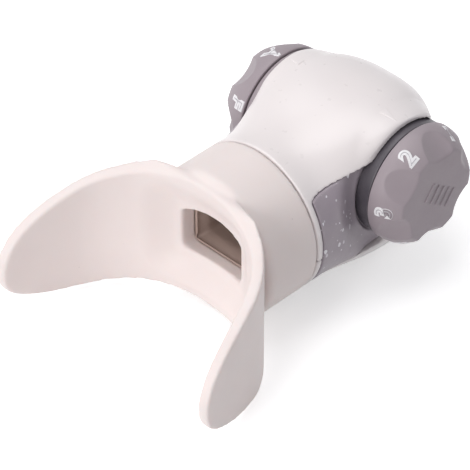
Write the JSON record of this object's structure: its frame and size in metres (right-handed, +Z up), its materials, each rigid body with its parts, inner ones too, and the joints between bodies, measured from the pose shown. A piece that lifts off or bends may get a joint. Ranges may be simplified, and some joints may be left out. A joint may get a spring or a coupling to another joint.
{
  "type": "breathing trainer",
  "caption": "Hand-held breathing trainer: silicone lip flange on a round tube, two-shell case with speckled side panels and a stepped resistance dial on each side.",
  "frame": {"origin": "under the middle of the object, on the plane that its flat underside rests on", "axes": "+X to the inhale dial on the user's right-hand side of the object, +Y from the lip flange to the rear of the case along the tube's axis, +Z up"},
  "size_m": [0.071, 0.1046, 0.0445],
  "materials": {
    "gloss_white": "polished",
    "speckled_grey": "matt with pale flecks",
    "white_silicone": "matt silicone",
    "inner_plastic": "moulded",
    "seal_rubber": "matt",
    "flap_silicone": "thin silicone",
    "dark_plastic": "satin",
    "dial_grey": "fine matt",
    "steel": "stainless"
  },
  "bodies": {
    "case": {"top_shell": "gloss_white", "bottom_shell": "gloss_white", "side_panel_right": "speckled_grey", "side_panel_left": "speckled_grey", "air_duct": "inner_plastic", "duct_gasket": "seal_rubber", "valve_chamber": "inner_plastic", "duct_screws": "steel", "inhale_valve_seat": "inner_plastic", "inhale_port_seal": "seal_rubber", "inhale_dial_base": "dark_plastic", "inhale_washer": "steel", "inhale_base_screws": "steel", "exhale_valve_seat": "inner_plastic", "exhale_port_seal": "seal_rubber", "exhale_dial_base": "dark_plastic", "exhale_washer": "steel", "exhale_base_screws": "steel", "case_screws": "steel", "pointer_marks": "gloss_white"},
    "mouthpiece": {"mouthpiece": "white_silicone"},
    "inhale_dial": {"inhale_dial": "dial_grey", "inhale_orifice_disc": "inner_plastic", "inhale_axle": "steel", "inhale_axle_clip": "steel"},
    "inhale_flap": {"inhale_valve_flap": "flap_silicone"},
    "exhale_dial": {"exhale_dial": "dial_grey", "exhale_orifice_disc": "inner_plastic", "exhale_axle": "steel", "exhale_axle_clip": "steel"},
    "exhale_flap": {"exhale_valve_flap": "flap_silicone"}
  },
  "joints": [
    {"name": "inhale_dial_turn", "type": "hinge", "parent": "case", "child": "inhale_dial", "pos_m": [0, 0.03115, 0.0258], "axis": [1, 0, 0], "continuous": true},
    {"name": "exhale_dial_turn", "type": "hinge", "parent": "case", "child": "exhale_dial", "pos_m": [0, 0.03115, 0.0258], "axis": [1, 0, 0], "continuous": true},
    {"name": "inhale_flap_lift", "type": "slide", "parent": "case", "child": "inhale_flap", "axis": [-1, 0, 0], "range_m": [0, 0.0012]},
    {"name": "exhale_flap_lift", "type": "slide", "parent": "case", "child": "exhale_flap", "axis": [-1, 0, 0], "range_m": [0, 0.0012]},
    {"name": "mouthpiece_pull_off", "type": "slide", "parent": "case", "child": "mouthpiece", "axis": [0, -1, 0], "range_m": [0, 0.03]}
  ]
}
